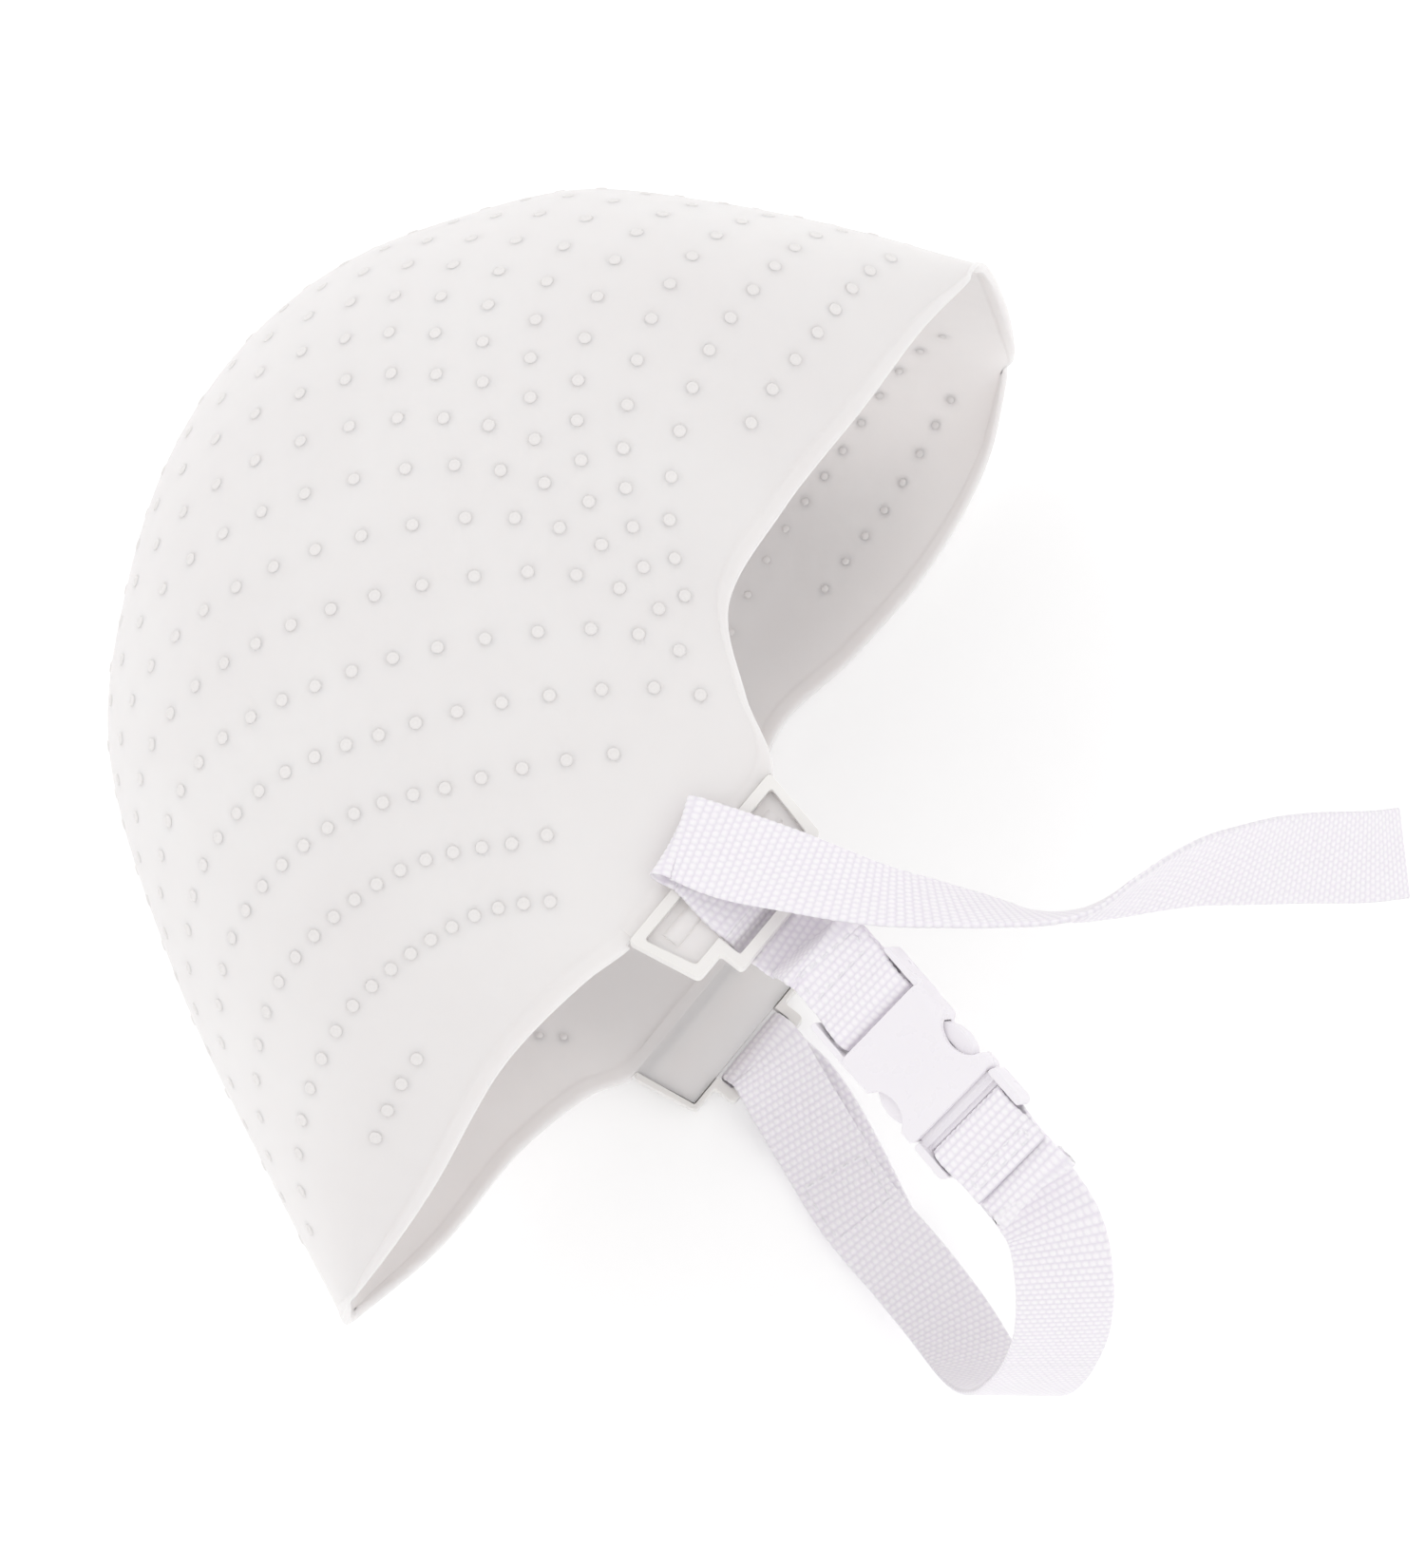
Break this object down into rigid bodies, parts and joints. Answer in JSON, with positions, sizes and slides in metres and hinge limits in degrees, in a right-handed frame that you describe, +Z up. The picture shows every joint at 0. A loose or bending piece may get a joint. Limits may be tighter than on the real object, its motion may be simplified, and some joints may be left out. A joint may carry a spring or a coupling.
{
  "type": "highlighting cap",
  "caption": "Soft moulded hair-highlighting cap with a perforated dome, open face and neck, and an adjustable chin strap with a side-release buckle.",
  "frame": {"origin": "middle of the flat patch on the far side of the dome, where the cap rests on a table", "axes": "+Z up, square to the cap's middle plane and out of the side that carries the buckle; the face opening looks towards +X and the nape towards -Y"},
  "size_m": [0.2874, 0.2679, 0.1637],
  "materials": {
    "silicone": "translucent milky, satin",
    "frame_plastic": "satin cream white",
    "webbing": "woven, matte",
    "buckle_plastic": "smooth, low gloss",
    "thread": "polyester sewing thread"
  },
  "bodies": {
    "root": {"cap_shell": "silicone", "near_strap_frame": "frame_plastic", "far_strap_frame": "frame_plastic", "front_strap": "webbing", "back_strap": "webbing", "far_lap_seam": "thread"},
    "socket": {"buckle_socket": "buckle_plastic", "front_lap_seam": "thread"},
    "plug": {"buckle_plug": "buckle_plastic", "plug_lap_seam": "thread"},
    "left_prong": {"left_prong": "buckle_plastic"},
    "right_prong": {"right_prong": "buckle_plastic"}
  },
  "joints": [
    {"name": "strap_adjust", "type": "slide", "parent": "root", "child": "socket", "axis": [0.6308, -0.6561, 0.4143], "range_m": [-0.01, 0.02], "deforming": ["front_strap", "back_strap"]},
    {"name": "buckle_release", "type": "slide", "parent": "socket", "child": "plug", "axis": [0.6232, -0.7696, 0.1392], "range_m": [0, 0.026], "deforming": ["back_strap", "left_prong", "right_prong"]},
    {"name": "left_prong_squeeze", "type": "hinge", "parent": "plug", "child": "left_prong", "pos_m": [0.10068, -0.0899, 0.15795], "axis": [-0.4422, -0.2, 0.8744], "range_deg": [0, 12], "stiffness_Nm_per_rad": 0.02},
    {"name": "right_prong_squeeze", "type": "hinge", "parent": "plug", "child": "right_prong", "pos_m": [0.08933, -0.10057, 0.14977], "axis": [0.4422, 0.2, -0.8744], "range_deg": [0, 12], "stiffness_Nm_per_rad": 0.02}
  ]
}
